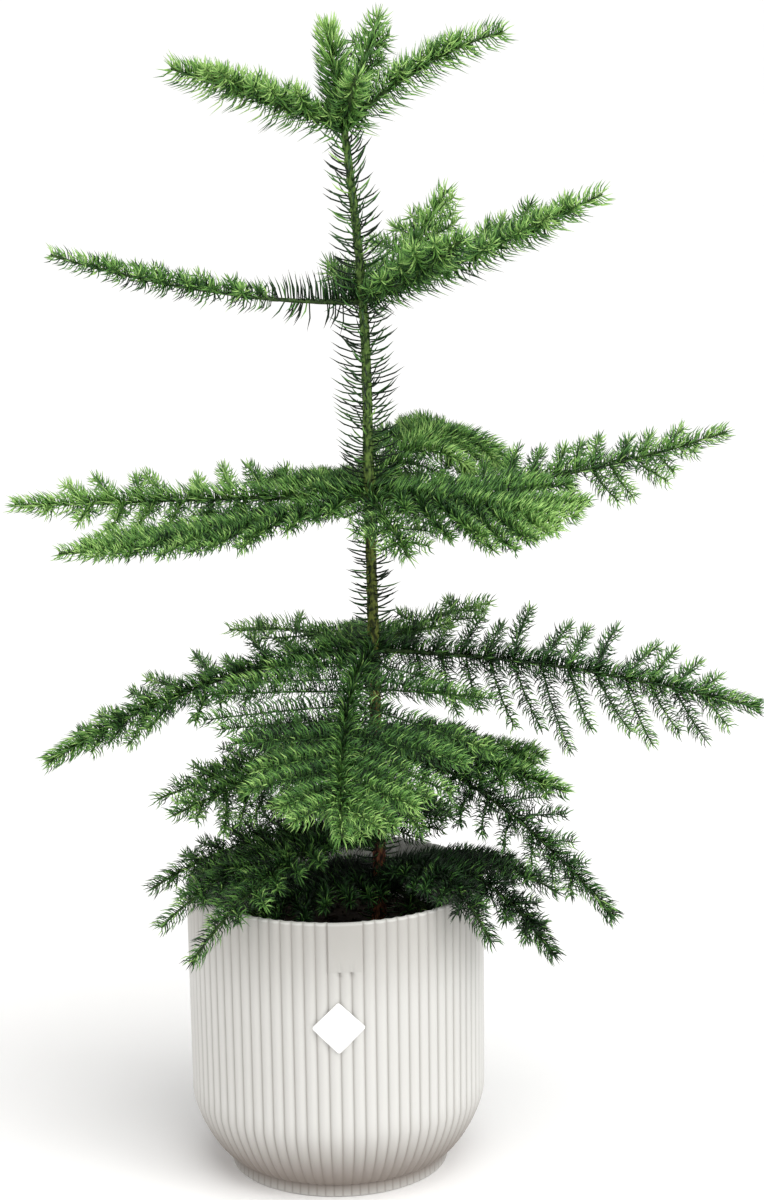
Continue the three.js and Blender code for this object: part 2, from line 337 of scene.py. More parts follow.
def makePot():
    shape = potShape
    perRib = shape["columnsPerRib"]
    columns = shape["ribs"] * perRib
    bearing = math.radians(shape["firstGroove"])
    way = Vector((math.cos(bearing), math.sin(bearing), 0))
    profile = [way * radius * mm + Vector((0, 0, z * mm)) for radius, z in potProfile()]
    deselect()
    bpy.ops.mesh.primitive_plane_add(size=mm, location=profile[0])
    pot = bpy.context.object
    placeInMesh(pot)
    openMesh()
    bpy.ops.mesh.merge(type="CENTER")
    for here, there in zip(profile, profile[1:]):
        pull(there - here)
    bpy.ops.mesh.select_all(action="SELECT")
    bpy.ops.mesh.spin(steps=columns, angle=2 * math.pi, center=(0, 0, 0), axis=(0, 0, 1))
    bpy.ops.mesh.select_all(action="SELECT")
    bpy.ops.mesh.remove_doubles(threshold=0.02 * mm)

    def column(place):
        turn = math.atan2(place.y, place.x) - bearing
        return round(turn / (2 * math.pi) * columns) % columns

    def fromGroove(place):
        away = column(place) % perRib
        return min(away, perRib - away)

    low, high = (rib * perRib for rib in shape["panelRibs"])

    def onPanel(place):
        index = column(place)
        index -= columns if index > columns / 2 else 0
        return place.z > (shape["panelFoot"] + 0.5) * mm and low < index < high

    def isRibbed(place, lowest):
        return place.z > lowest * mm and place.xy.length > shape["plainMiddle"] * mm and not onPanel(place)

    def inDimple(place):
        groove = round(column(place) / perRib) % shape["ribs"]
        bottom, top = shape["dimpleHeights"]
        return groove in shape["dimpleGrooves"] and fromGroove(place) < 2 and bottom * mm < place.z < top * mm

    def shade(place):  # painted shade where a groove runs, and a little painted shade on the panel
        away = fromGroove(place)
        if onPanel(place):
            # the panel's outer face gets a little painted shade
            return shape["panelShade"] if place.xy.length > (shape["rim"] - 1) * mm else 0
        if isRibbed(place, shape["shadeFoot"]) and away < len(shape["grooveShades"]):
            return shape["grooveShades"][away]
        return 0

    def inPaintedLight(place):  # the wall inside, over the compost, made paler as painted light
        inner = (shape["rim"] - shape["innerPart"] * shape["wall"]) * mm
        return place.z > shape["paintedLightFrom"] * mm and place.xy.length < inner

    for away, depth in enumerate(shape["grooveDepths"]):
        pick(pot, lambda place: isRibbed(place, shape["footEdge"]) and fromGroove(place) == away)
        narrow(1 - depth / shape["rim"])
    pick(pot, inDimple)
    narrow(1 - shape["dimple"] / shape["rim"])
    closeMesh()
    bpy.ops.object.shade_smooth_by_angle(angle=math.radians(50))
    for name, value in (("paintedShade", shade), ("inside", inPaintedLight)):
        marks = pot.data.attributes.new(name, "FLOAT", "POINT")
        for point, mark in zip(pot.data.vertices, marks.data):
            mark.value = value(point.co)
    finishPiece(pot, "ribbed_pot", "pot", ["pot"], potPaint())


def potPaint():
    paint = Paint("moulded_plastic", Specular_IOR_Level=0.4)
    height = paint.height()
    cloud = paint.noise(9, 4)
    grain = paint.noise(900, 2)
    # painted shade with a brown painted reflection where the side turns in over the foot, and painted shade
    # from the boughs above under the rim
    grime, watermark = (paint.step(height, *potMarks[f"{mark}Starts"])
                        * (1 - paint.step(height, *potMarks[f"{mark}Fades"]))
                        for mark in ("grime", "watermark"))
    shell = paint.blend(cloud, potTints["shell"], potTints["cloud"])
    # the groove tint is painted shade in the grooves and on the panel
    shell = paint.blend(paint.mark("paintedShade") * 0.75, shell, potTints["groove"])
    # painted shade from the boughs above, under the rim
    shell = paint.blend(watermark * 0.6, shell, potTints["watermark"])
    # a paler copy of the shell on the inner wall: painted light
    shell = paint.blend(paint.mark("inside") * 0.8, shell, potTints["inside"])
    # painted shade with a brown painted reflection over the foot
    paint.set("Base Color", paint.blend(grime * 0.95, shell, potTints["grime"]))
    paint.set("Roughness", 0.42 + cloud * 0.12)
    paint.bump(grain, 0.05 * mm, 0.3)
    return paint


# clear is the gap to the pot's wall, sunk how deep the surface lies before its lumps are raised, uneven the
# radius they reach, and bowl the inset and height of each step down to the pot's floor
compost = dict(top=145, clear=1.2, sunk=3, rings=26, columns=96, relief=6.0, lump=7, uneven=83,
               bowl=((0.5, 130), (1, 80), (1.4, 50), (16, 16), (24, 7)))
crumb = dict(count=520, reach=80, size=(1.0, 3.4), falloff=0.6, least=0.5, squash=(0.6, 1.2),
             rough=(0.8, 1.2), sunk=1.6, rise=0.3)


def makeCompost():
    edge = sideRadius(compost["top"]) - potShape["wall"] - compost["clear"]
    surface = compost["top"] - compost["sunk"]
    deselect()
    bpy.ops.mesh.primitive_circle_add(vertices=compost["columns"], radius=edge * mm,
                                      fill_type="NGON", location=(0, 0, surface * mm))
    soil = bpy.context.object
    placeInMesh(soil)
    openMesh()
    for ring in range(compost["rings"] - 1):
        bpy.ops.mesh.inset(thickness=edge / compost["rings"] * mm, depth=0)
    pick(soil, lambda place: place.xy.length > (edge - 0.5) * mm)
    bpy.ops.mesh.select_mode(type="EDGE")
    radius, height = edge, surface
    for inset, z in compost["bowl"]:
        pull((0, 0, z * mm - height * mm))
        narrow((edge - inset) / radius)
        radius, height = edge - inset, z
    bpy.ops.mesh.edge_face_add()
    bpy.ops.mesh.select_mode(type="VERT")
    closeMesh()
    lumps = bpy.data.textures.new("lumps", "CLOUDS")
    lumps.noise_scale = compost["lump"] * mm
    lumps.noise_depth = 4
    raised = [v.index for v in soil.data.vertices
              if v.co.z > (surface - 1) * mm and v.co.xy.length < compost["uneven"] * mm]
    soil.vertex_groups.new(name="surface").add(raised, 1.0, "REPLACE")
    addModifier(soil, "DISPLACE", texture=lumps, strength=compost["relief"] * mm, mid_level=0.4,
                direction="Z", vertex_group="surface", texture_coords="LOCAL")
    bpy.ops.object.shade_smooth()
    finishPiece(soil, "compost", "soil", ["soil"], soilPaint())


def makeCrumbs():
    deselect()
    bpy.ops.mesh.primitive_ico_sphere_add(subdivisions=1, radius=1)
    seed = bpy.context.object
    ball = np.array([v.co for v in seed.data.vertices])
    corners = np.array([list(f.vertices) for f in seed.data.polygons])
    bpy.data.objects.remove(seed)
    points, faces = [], []
    for i in range(crumb["count"]):
        away = crumb["reach"] * math.sqrt(rng.random())
        turn = rng.random() * 2 * math.pi
        size = rng.uniform(*crumb["size"]) * rng.random() ** crumb["falloff"] + crumb["least"]
        lump = ball * size * rng.uniform(*crumb["squash"], 3) * rng.uniform(*crumb["rough"], (len(ball), 1))
        height = compost["top"] - crumb["sunk"] + crumb["rise"] * size
        points.append(lump + (away * math.cos(turn), away * math.sin(turn), height))
        faces += (corners + i * len(ball)).tolist()
    crumbs = meshFromLists("compost_crumbs", np.concatenate(points), faces, smooth=False)
    finishPiece(crumbs, "compost_crumbs", "soil", [], soilPaint())


def soilPaint():
    paint = Paint("moist_compost", Specular_IOR_Level=0.25)
    blotch = paint.noise(160, 5)
    speck = paint.noise(900, 3)
    dark = paint.ramp(blotch, (0.3, (0.010, 0.007, 0.005)), (0.7, (0.045, 0.028, 0.017)))
    fibre = paint.step(speck, 0.62, 0.72)
    paint.set("Base Color", paint.blend(fibre * 0.5, dark, (0.12, 0.075, 0.04)))
    paint.set("Roughness", 0.95 - blotch * 0.25)
    paint.bump(blotch + speck * 0.3, 0.8 * mm, 0.7)
    return paint


tagShape = dict(half=16.0, thickness=0.7, corner=1.5, edge=0.12, height=117, bearing=-88.6, lift=0.35,
                strips=12)


def makeTag():
    shape = tagShape
    deselect()
    bpy.ops.mesh.primitive_circle_add(vertices=4, radius=shape["half"] * mm, fill_type="NGON",
                                      rotation=(math.pi / 2, 0, 0))
    tag = bpy.context.object
    placeInMesh(tag)
    openMesh()
    bpy.ops.mesh.bevel(offset=shape["corner"] * mm, segments=4, affect="VERTICES")
    bpy.ops.mesh.select_all(action="SELECT")
    pull((0, -shape["thickness"] * mm, 0))
    for i in range(1, shape["strips"]):
        across = shape["half"] * (2 * i / shape["strips"] - 1) * mm
        bpy.ops.mesh.select_all(action="SELECT")
        bpy.ops.mesh.bisect(plane_co=(across, 0, 0), plane_no=(1, 0, 0))
    closeMesh()
    back = (potShape["rim"] + shape["lift"]) * mm
    for point in tag.data.vertices:  # wrapped round the pot's side
        turn = math.radians(shape["bearing"]) + point.co.x / back
        away = back - point.co.y
        point.co = (away * math.cos(turn), away * math.sin(turn), shape["height"] * mm + point.co.z)
    addModifier(tag, "BEVEL", width=shape["edge"] * mm, segments=2, limit_method="ANGLE")
    bpy.ops.object.shade_smooth_by_angle(angle=math.radians(35))
    finishPiece(tag, "blank_tag", "tag", ["tag"], tagPaint())


def tagPaint():
    paint = Paint("satin_paper", Specular_IOR_Level=0.5)
    pulp = paint.noise(400, 3)
    paint.set("Base Color", paint.blend(pulp, (0.93, 0.93, 0.93), (0.97, 0.97, 0.96)))
    paint.set("Roughness", 0.28 + pulp * 0.1)
    paint.bump(pulp, 0.02 * mm, 0.3)
    return paint


trunkShape = dict(sides=18, step=6, knob=1.1, knobScale=1.9,
                  stations=[(25.5, 0, 145.35, 6.2), (26.2, 0, 152, 4.3), (27.2, 0, 205, 3.6),
                            (26, -1, 300, 3.3), (24.6, 0, 417, 3), (22.6, 1, 532, 2.6), (18, 0.5, 590, 2.3),
                            (13, 0, 633, 2), (4.5, 0, 692, 0.7)])  # x, y, height and radius
trunkTable = np.array(trunkShape["stations"], float)
trunkHeights = trunkTable[:, 2]
barkTints = dict(foot=((46, 27, 20), (156, 98, 70)), middle=((36, 44, 14), (104, 116, 46)),
                 young=((28, 50, 16), (96, 126, 58)))  # dark and light, from the foot up


def trunkValue(height, column):  # a smooth value between the stations
    values = trunkTable[:, column]
    slopes = np.gradient(values, trunkHeights)
    i = int(np.clip(np.searchsorted(trunkHeights, height) - 1, 0, len(trunkHeights) - 2))
    span = trunkHeights[i + 1] - trunkHeights[i]
    u = (height - trunkHeights[i]) / span
    left = (1 + 2 * u) * (1 - u) ** 2 * values[i] + u * (1 - u) ** 2 * span * slopes[i]
    return left + u * u * (3 - 2 * u) * values[i + 1] + u * u * (u - 1) * span * slopes[i + 1]


def trunkPoint(height):
    return np.array([trunkValue(height, 0), trunkValue(height, 1), height])


def trunkRadius(height):
    return float(np.interp(height, trunkHeights, trunkTable[:, 3]))


def makeTrunk():
    low, high = trunkHeights[0], trunkHeights[-1]
    here, radius = trunkPoint(low), trunkRadius(low)
    deselect()
    bpy.ops.mesh.primitive_circle_add(vertices=trunkShape["sides"], radius=radius * mm,
                                      fill_type="NGON", location=here * mm)
    trunk = bpy.context.object
    placeInMesh(trunk)
    openMesh()
    for height in np.linspace(low, high, int((high - low) / trunkShape["step"]))[1:]:
        there, wide = trunkPoint(height), trunkRadius(height)
        pull(Vector((there - here) * mm))
        narrow(wide / radius, Vector(there * mm))
        here, radius = there, wide
    closeMesh()
    addModifier(trunk, "SUBSURF", levels=2, render_levels=2, subdivision_type="SIMPLE")
    knobs = bpy.data.textures.new("needle_cushions", "VORONOI")
    knobs.noise_scale = trunkShape["knobScale"] * mm
    addModifier(trunk, "DISPLACE", texture=knobs, strength=-trunkShape["knob"] * mm, mid_level=0.65,
                texture_coords="LOCAL")
    bpy.ops.object.shade_smooth()
    finishPiece(trunk, "bark_trunk", "bark", ["trunk"], barkPaint())


def barkPaint():
    paint = Paint("young_bark", Specular_IOR_Level=0.3)
    height = paint.height()
    flake = paint.noise(520, 4, (1, 1, 0.45))
    patch = paint.noise(60, 3)
    foot, middle, young = (paint.ramp(flake, (0.42, rgb(*dark)), (0.6, rgb(*light)))
                           for dark, light in barkTints.values())
    overFoot = paint.step(height + patch * 0.05, 0.26, 0.37)
    overMiddle = paint.step(height + patch * 0.06, 0.40, 0.50)
    paint.set("Base Color", paint.blend(overMiddle, paint.blend(overFoot, foot, middle), young))
    paint.set("Roughness", 0.85 - flake * 0.25)
    paint.bump(flake, 0.4 * mm, 0.6)
    return paint


# how needles stand on a stem: lean is their angle to it and hook how far they bend forward, lift raises the
# upper ones, under is the share that grows below, hang makes those longer, or shorter below zero, and
# thickness is the radius near the root
usualHabit = dict(lean=78, hook=36, lift=0.3, under=0.45, hang=0, thickness=0.39)

# a bough ends at length along its bearing, and at rise over its whorl. arch lifts its middle, swing carries
# it sideways, and bare is how far its foot has no side shoots.
# width is the longest side shoot's reach. opening and closing shape how they lengthen and shorten along the
# bough: a low opening lengthens them early, and a high closing keeps them long. every is the step from one
# to the next, crowd shortens it towards the tip, and ragged is how uneven they are. They leave the bough at
# opens degrees by its foot and at forward degrees by its tip, late says how late that changes, and sweep
# bends each one forward. vee lifts both rows, roll lifts the left one and lowers the right one, and curl
# bends the shoots up or, below zero, down.
# fresh says how light the green is, and gain how much lighter it gets towards the tip. needles and density
# are the size and number of the needles, brush adds to the bough's own and tuft to the last side shoots'.
plain = dict(usualHabit, arch=0, swing=0, bare=0, opening=0.75, closing=1.6, every=14, crowd=0, ragged=1,
             opens=84, forward=58, late=1, sweep=16, vee=0, roll=0, curl=0, fresh=0.4, gain=0.3, needles=1,
             density=1, brush=1, tuft=0)
whorls = [
    dict(name="whorl_1", z=633, needles=1.12, density=1.2, lean=84, hook=30, under=0.25, hang=0.35,
         thickness=0.47,
         boughs=dict(
             left=dict(bearing=180, length=104, rise=37, width=22, forward=46, vee=30, curl=10, fresh=0.72,
                       gain=0.2, brush=1.15),
             right=dict(bearing=3, length=98, rise=54, arch=9, width=14, vee=36, curl=14, fresh=0.68,
                        gain=0.2, brush=1.2),
             back=dict(bearing=72, length=74, rise=66, arch=2, width=18, every=19, vee=12, curl=14,
                       fresh=0.62, gain=0.2),
             front=dict(bearing=-70, length=28, rise=34, arch=3, width=12, vee=16, curl=14, fresh=0.64,
                        brush=1.3))),
    dict(name="whorl_2", z=532, needles=1.08, density=1.02, lean=82, hook=32, under=0.3, hang=0.25,
         thickness=0.46,
         boughs=dict(
             left=dict(bearing=180, length=187, rise=32, arch=-8, bare=50, width=18, vee=24, roll=-6,
                       curl=10, fresh=0.55, gain=0.2, needles=0.9, hang=-0.1),
             right=dict(bearing=8, length=148, rise=62, arch=-3, bare=14, width=32, vee=18, roll=6,
                        curl=10, fresh=0.6),
             back_right=dict(bearing=60, length=108, rise=63, arch=-9, bare=13, width=34, vee=8, roll=-12,
                             fresh=0.65),
             front_right=dict(bearing=-42, length=84, rise=44, arch=-3, width=26, every=12, vee=18, curl=8,
                              fresh=0.52),
             back=dict(bearing=110, length=62, rise=18, width=13, vee=12, fresh=0.5))),
    dict(name="whorl_3", z=417, needles=0.95,
         boughs=dict(
             left=dict(bearing=180, length=216, rise=-3, bare=14, width=38, every=18, opens=88, late=2.5,
                       vee=4, roll=-26, fresh=0.62, density=1.2, brush=1.8),
             front_left=dict(bearing=207, length=202, rise=-15, arch=-5, bare=16, width=38, closing=1.2,
                             every=12, ragged=0.6, opens=62, forward=38, late=0.8, vee=2, roll=-2,
                             fresh=0.54, gain=0.4, needles=0.86, density=1.1),
             back_left=dict(bearing=146, length=86, rise=1, arch=3, width=34, vee=4, fresh=0.5),
             back=dict(bearing=98, length=108, rise=-8, arch=3, width=38, vee=4, fresh=0.5),
             back_right=dict(bearing=50, length=107, rise=15, arch=19, bare=14, width=54, opening=0.45,
                             closing=2.6, every=9.5, ragged=0.5, opens=76, forward=56, vee=-5, roll=9,
                             curl=-95, fresh=0.68, gain=0.4, density=1.4),
             right=dict(bearing=3, length=218, rise=35, arch=-9, bare=14, width=38, every=13, opens=88,
                        late=2.5, vee=-8, roll=30, fresh=0.5, brush=1.4),
             front_right=dict(bearing=-32, length=134, rise=-6, arch=3, bare=14, width=50, every=11,
                              ragged=0.6, opens=72, forward=34, late=0.5, vee=-1, roll=10, fresh=0.52,
                              gain=0.6, density=1.4),
             front=dict(bearing=-72, length=74, rise=-27, arch=2, width=32, fresh=0.56, density=1.1))),
    dict(name="whorl_4", z=323, needles=0.88, density=0.8,
         boughs=dict(
             left=dict(bearing=188, length=202, rise=-63, arch=15, bare=14, width=40, every=16, vee=2,
                       roll=-14, fresh=0.46, needles=0.95, density=1.1, brush=2.2),
             front=dict(bearing=-95, length=190, rise=-64, arch=10, swing=-9, bare=15, width=92,
                        closing=0.9, every=17, crowd=0.6, ragged=0.4, forward=40, late=2.5, sweep=8,
                        vee=-3, roll=-5, fresh=0.44, gain=0.38, needles=1.1, density=0.95, brush=1.6,
                        tuft=1),
             right=dict(bearing=-3, length=236, rise=-38, arch=7, bare=14, width=50, closing=2.6, every=16,
                        ragged=0.6, forward=62, late=1.5, vee=-12, roll=36, fresh=0.35, needles=0.95,
                        density=0.9, brush=2.2),
             back_right=dict(bearing=41, length=100, rise=14, arch=5, width=34, every=25, vee=4, fresh=0.54),
             back=dict(bearing=95, length=150, rise=-20, arch=2, width=42, every=19, fresh=0.5, density=0.7),
             back_left=dict(bearing=143, length=118, rise=-3, arch=6, width=36, every=31, vee=2, fresh=0.6,
                            density=0.62))),
    dict(name="whorl_5", z=264, needles=0.9, density=0.9,
         boughs=dict(
             left=dict(bearing=195, length=140, rise=-24, arch=6, width=38, roll=-8, fresh=0.3),
             front_left=dict(bearing=208, length=140, rise=-26, arch=5, width=44, vee=-6, roll=-14,
                             fresh=0.42, density=1.1),
             front=dict(bearing=-108, length=100, rise=-22, arch=8, width=54, closing=5, every=11, vee=-4,
                        roll=-12, curl=-28, fresh=0.46, needles=1.1, density=1.1),
             right=dict(bearing=-3, length=106, rise=-9, arch=2, width=30, vee=-4, roll=4, fresh=0.42,
                        density=1.2, brush=1.6),
             right_middle=dict(bearing=-19, length=124, rise=-22, arch=5, width=28, vee=-4, roll=6,
                               fresh=0.45, density=1.2, brush=1.6),
             right_low=dict(bearing=-36, length=172, rise=-84, arch=20, bare=14, width=34, opening=0.5,
                            every=15, roll=16, fresh=0.27, brush=1.9),
             back_left=dict(bearing=138, length=112, rise=-12, arch=4, width=34, vee=2, fresh=0.2),
             back_right=dict(bearing=52, length=92, rise=-12, arch=3, width=28, vee=2, fresh=0.2))),
    dict(name="whorl_6", z=206, needles=0.92, density=1.05,
         boughs=dict(
             left=dict(bearing=186, length=144, rise=-30, arch=17, width=32, roll=-6, fresh=0.3),
             front_left=dict(bearing=207, length=150, rise=-38, arch=20, width=30, fresh=0.34),
             front_low=dict(bearing=225, length=158, rise=-46, arch=24, width=28, fresh=0.34),
             back_right=dict(bearing=70, length=92, rise=-2, arch=8, width=40, every=11, roll=18,
                             fresh=0.3, density=1.15),
             back_left=dict(bearing=128, length=116, rise=-6, arch=8, width=32, vee=2, fresh=0.1))),
    dict(name="whorl_7", z=177, needles=0.95,
         boughs=dict(
             back_left=dict(bearing=150, length=98, rise=-14, arch=4, width=34, every=11, vee=4, fresh=0.05),
             back=dict(bearing=114, length=72, rise=-10, arch=3, width=24, every=11, vee=2, fresh=0.16),
             right=dict(bearing=-9, length=114, rise=-7, arch=19, width=28, roll=-8, fresh=0.14,
                        density=1.2),
             right_low=dict(bearing=-34, length=128, rise=-31, arch=31, width=38, opening=1.2, fresh=0.12,
                            density=1.3, brush=1.4),
             front_right=dict(bearing=-54, length=114, rise=-15, arch=27, width=28, opening=1.6,
                              fresh=0.12, density=1.2),
             front=dict(bearing=-36, length=46, rise=-16, arch=2, width=22, opening=1.6, every=11,
                        fresh=0.12, density=0.7),
             front_left=dict(bearing=208, length=92, rise=-10, arch=5, width=42, opening=0.45, every=10,
                             fresh=0.22)))
]

# radii, steps and gaps in mm, angles in degrees. fullest is where along a bough its longest side shoot
# stands, early how far ahead each one takes its length, and needleRoom what needles add to its reach.
limbShape = dict(radius=1.9, taper=0.0075, thinnest=0.75, sides=8, roughness=0.12, stepLength=6, tipGap=5,
                 wander=1.0, wave=24, steadyUntil=60, needleRoot=1.2)
shootShape = dict(radius=0.62, tipRadius=0.372, sides=5, stepLength=6, fullest=0.38, tipWidth=5, early=0.13,
                  steepest=84, needleRoom=4, shortest=8, room=0.92, angleSpread=6, lengthSpread=0.15,
                  liftSpread=4, curlFrom=0.3, spacing=0.2, firstLeft=0.35, firstRight=0.75, needleRoot=0.5)
# side and axis are the lengths of a needle on a side shoot and on a bough, and turn the angle in radians
# from one to the next. Tones run from 0 to 1 over the tints.
needleShape = dict(side=10.0, axis=13.2, sidePerMm=3.8, axisPerMm=3.6, stout=0.58, turn=2.39996,
                   turnSpread=0.35, upper=0.4, sizeSpread=0.1, tipShorter=0.34, leanSpread=6, tipLean=26,
                   rootDepth=0.6, rootWidth=0.85, toneSpread=0.2, belowAgedAndShaded=0.14, sideDarker=0.15,
                   sideSpread=0.06, sideTipTone=0.3, axisDarker=0.12, mostFaces=190000)
bareNeedles = dict(over=20, overlap=4, radius=1.6, perMm=2.4, longer=1.65, darker=0.4, tipTone=0.1,
                   habit=dict(lean=86, hook=14, lift=0.9, under=0.3, thickness=needleShape["stout"]))
tints = dict(shade=(9, 34, 10), deep=(38, 77, 33), leaf=(77, 124, 56), fresh=(116, 165, 79),
             bright=(170, 211, 120))
stemTints = dict(bough_bark=((34, 52, 22), (62, 88, 38)), green_twig=((32, 60, 26), (60, 94, 42)))


def spread(bough, t):  # how long a side shoot is, along the bough
    fullest = shootShape["fullest"]
    if t < fullest:
        return (t / fullest) ** bough["opening"]
    return math.sqrt(max(0.0, 1 - ((t - fullest) / (1 - fullest)) ** bough["closing"]))


def boughPoint(bough, distance):
    part = distance / bough["length"]
    bow = 4 * part * (1 - part)
    point = trunkPoint(bough["z"]) + bough["out"] * distance + bough["across"] * bough["swing"] * bow
    point[2] = bough["z"] + bough["rise"] * part + bough["arch"] * bow
    return point


def limbRadius(distance):
    return max(limbShape["thinnest"], limbShape["radius"] * (1 - limbShape["taper"] * distance))


def readBoughs(whorl):
    for place, bough in whorl["boughs"].items():
        bough = {**plain, **{key: value for key, value in whorl.items() if key in plain}, **bough}
        bough.update(z=whorl["z"], label=f"{whorl['name']}_{place}")
        turn = math.radians(bough["bearing"])
        bough["out"] = np.array([math.cos(turn), math.sin(turn), 0])
        bough["across"] = np.array([-math.sin(turn), math.cos(turn), 0])
        yield bough


def unit(rows):
    return rows / np.linalg.norm(rows, axis=-1, keepdims=True)


class Spray:  # gathers needles and stems until they are made into pieces
    def __init__(self, bends=2):
        self.bends = bends  # how many straight parts a needle has
        self.needles, self.tones = [], []
        self.stemPoints, self.stemFaces, self.stemCount = [], [], 0

    def grow(self, line, radius, perMm, size, tone, tipTone, **habit):
        shape, habit = needleShape, {**usualHabit, **habit}
        legs = np.linalg.norm(np.diff(line, axis=0), axis=1)
        runs = np.concatenate([[0], np.cumsum(legs)])
        count = max(3, int(runs[-1] * perMm))
        at = np.sort((np.arange(count) + rng.random(count)) / count * runs[-1])
        ways = unit(np.gradient(line, runs, axis=0))
        root = np.stack([np.interp(at, runs, line[:, k]) for k in range(3)], axis=1)
        ahead = unit(np.stack([np.interp(at, runs, ways[:, k]) for k in range(3)], axis=1))
        level = 1 - np.abs(ahead[:, 2:3])
        up = unit(np.array([0, 0, 1.0]) - ahead * ahead[:, 2:3] + np.array([1e-4, 0, 0]))
        beside = np.cross(ahead, up)
        turn = (np.arange(count) * shape["turn"] + rng.normal(0, shape["turnSpread"], count))[:, None]
        kept = rng.random((count, 1)) < 1 - level * (1 - habit["under"]) * (0.5 - 0.5 * np.cos(turn))
        side = np.cos(turn) * up + np.sin(turn) * beside
        raised = np.array([0, 0, habit["lift"]]) * level * np.clip(np.cos(turn) + shape["upper"], 0, 1)
        part = (at / runs[-1])[:, None]
        below = level * np.clip(-np.cos(turn), 0, 1)
        long = size * rng.normal(1, shape["sizeSpread"], (count, 1)) * (1 - shape["tipShorter"] * part ** 3)
        long = long * (1 + habit["hang"] * below)
        leans = rng.normal(habit["lean"], shape["leanSpread"], (count, 1)) - shape["tipLean"] * part ** 6
        places = [root + side * radius * shape["rootDepth"]]
        flat = unit(np.cross(ahead, side))
        corners = []
        for k in range(self.bends):
            angle = np.radians(leans - habit["hook"] * k / (self.bends - 1))
            heading = unit(ahead * np.cos(angle) + side * np.sin(angle) + raised)
            normal = unit(np.cross(flat, heading))
            for angle in (90, 210, 330):
                spoke = normal * math.sin(math.radians(angle)) + flat * math.cos(math.radians(angle))
                corners.append(places[k] + spoke * habit["thickness"] * (1 if k else shape["rootWidth"]))
            places.append(places[-1] + heading * long / self.bends)
        corners.append(places[-1])
        tones = tone + tipTone * part[:, 0] ** 1.5 + rng.normal(0, shape["toneSpread"], count)
        # needles under a stem are darker, partly for their age and partly as painted shade
        tones = tones - shape["belowAgedAndShaded"] * below[:, 0]
        kept = kept[:, 0]
        self.needles.append(np.stack(corners, axis=1)[kept])
        self.tones.append(tones[kept])

    def tube(self, line, radii, sides, roughness=0.0):
        ways = unit(np.gradient(line, axis=0))
        helper = np.array([0, 0, 1.0]) if abs(ways[0][2]) < 0.9 else np.array([1.0, 0, 0])
        first = unit(np.cross(ways, helper))
        second = np.cross(first, ways)
        turns = np.arange(sides) * 2 * math.pi / sides
        start = self.stemCount
        for i, middle in enumerate(line):
            uneven = 1 + roughness * rng.uniform(-1, 1, (sides, 1))
            ring = first[i] * np.cos(turns)[:, None] + second[i] * np.sin(turns)[:, None]
            self.stemPoints.append(middle + ring * radii[i] * uneven)
        rings = len(line)
        for i in range(rings - 1):
            for j in range(sides):
                a, b = start + i * sides + j, start + i * sides + (j + 1) % sides
                self.stemFaces.append((a, a + sides, b + sides, b))
        self.stemFaces.append(tuple(start + j for j in range(sides)))
        last = start + (rings - 1) * sides
        self.stemFaces.append(tuple(last + j for j in reversed(range(sides))))
        self.stemCount += rings * sides


def needleFaces(bends):  # a closed three-sided spike
    faces = [(0, 2, 1)]
    for low in range(0, 3 * (bends - 1), 3):
        for j in range(3):
            here, there = low + j, low + (j + 1) % 3
            faces += [(here, there, there + 3), (here, there + 3, here + 3)]
    top = 3 * (bends - 1)
    return np.array(faces + [(top + j, top + (j + 1) % 3, top + 3) for j in range(3)])


def makeNeedles(name, spray, nodes):
    blocks = np.concatenate(spray.needles)
    tones = np.concatenate(spray.tones)
    kinds = np.clip((tones * len(tints)).astype(int), 0, len(tints) - 1)
    oneNeedle = needleFaces(spray.bends)
    pieces = math.ceil(len(blocks) * len(oneNeedle) / needleShape["mostFaces"])
    print(name, "needles", len(blocks))
    for part in range(pieces):
        chosen = slice(part * len(blocks) // pieces, (part + 1) * len(blocks) // pieces)
        count = len(blocks[chosen])
        points = blocks[chosen].reshape(-1, 3)
        faces = (oneNeedle[None] + np.arange(count)[:, None, None] * blocks.shape[1]).reshape(-1, 3)
        label = name if pieces == 1 else f"{name}_{part + 1}"
        piece = meshFromLists(label, points, faces.tolist(), np.repeat(kinds[chosen], len(oneNeedle)))
        finishPiece(piece, label, "foliage", nodes if part == 0 else [], *needlePaints)


def needlePaint(name, colour):
    paint = Paint(f"needle_{name}", Roughness=0.48, Specular_IOR_Level=0.35)
    paint.set("Base Color", rgb(*colour))
    return paint


def stemPaint(name):
    dark, light = stemTints[name]
    paint = Paint(name, Specular_IOR_Level=0.3)
    flake = paint.noise(500, 3)
    paint.set("Base Color", paint.ramp(flake, (0.35, rgb(*dark)), (0.65, rgb(*light))))
    paint.set("Roughness", 0.8 - flake * 0.2)
    paint.bump(flake, 0.2 * mm, 0.5)
    return paint


